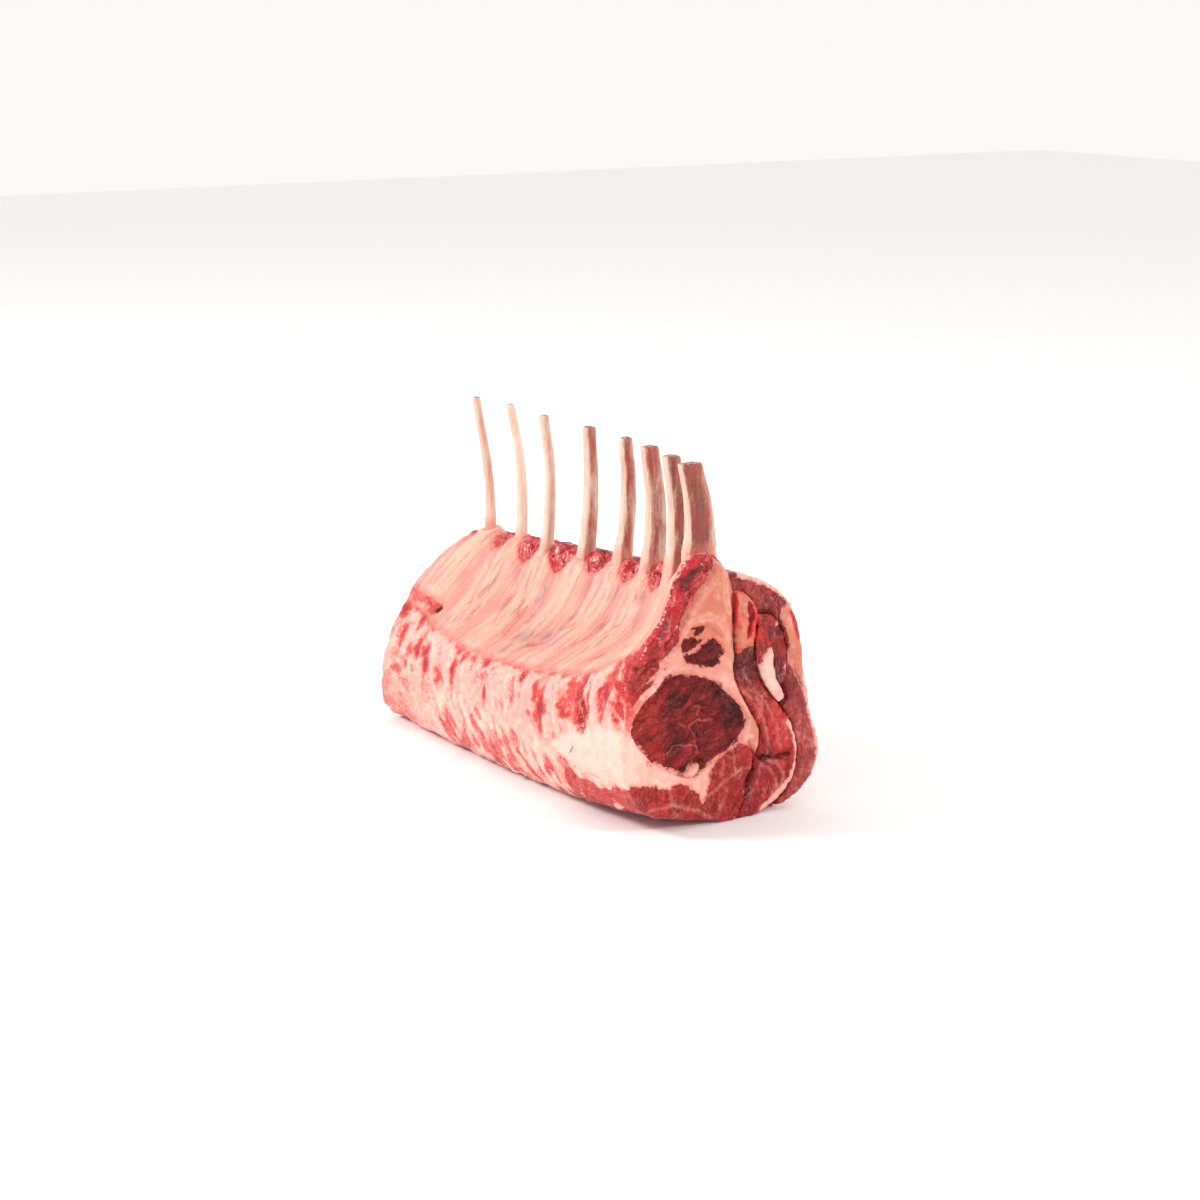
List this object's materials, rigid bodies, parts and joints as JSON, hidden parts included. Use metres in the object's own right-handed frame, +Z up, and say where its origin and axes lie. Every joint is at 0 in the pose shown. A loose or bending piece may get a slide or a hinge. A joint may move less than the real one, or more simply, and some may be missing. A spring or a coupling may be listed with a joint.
{
  "type": "raw rack of lamb",
  "caption": "Raw rack of lamb lying on its back, with bare frenched rib bones standing up, a hollow membrane-lined wall and a cut end showing eye muscle, fat and layered cap.",
  "frame": {"origin": "on the flat underside, at the middle of the rack's length and below the line of the ribs", "axes": "+X along the rack to the shoulder end, whose cut face shows the layered muscles; -Y to the chine side and the hollow of the rib cage; +Y to the fat cap; +Z up along the ribs"},
  "size_m": [0.2, 0.0903, 0.1408],
  "materials": {
    "fat": "moist pale pink fat and membrane with red meat showing through",
    "dark_lean": "moist dark maroon raw muscle with thin pale marbling",
    "lean": "moist red raw muscle with pale streaks",
    "cap_fat": "moist fat cap, cream to orange pink, with dark red muscle at its cut end",
    "bone": "scraped bare bone, cream with pink brown stains"
  },
  "bodies": {
    "root": {"rack_body": "fat", "eye_muscle": "dark_lean", "small_muscle": "dark_lean", "side_muscle": "lean", "middle_leaf": "lean", "outer_leaf": "dark_lean", "outer_cap": "cap_fat", "rib_1": "bone", "rib_2": "bone", "rib_3": "bone", "rib_4": "bone", "rib_5": "bone", "rib_6": "bone", "rib_7": "bone", "rib_8": "bone"}
  },
  "joints": []
}
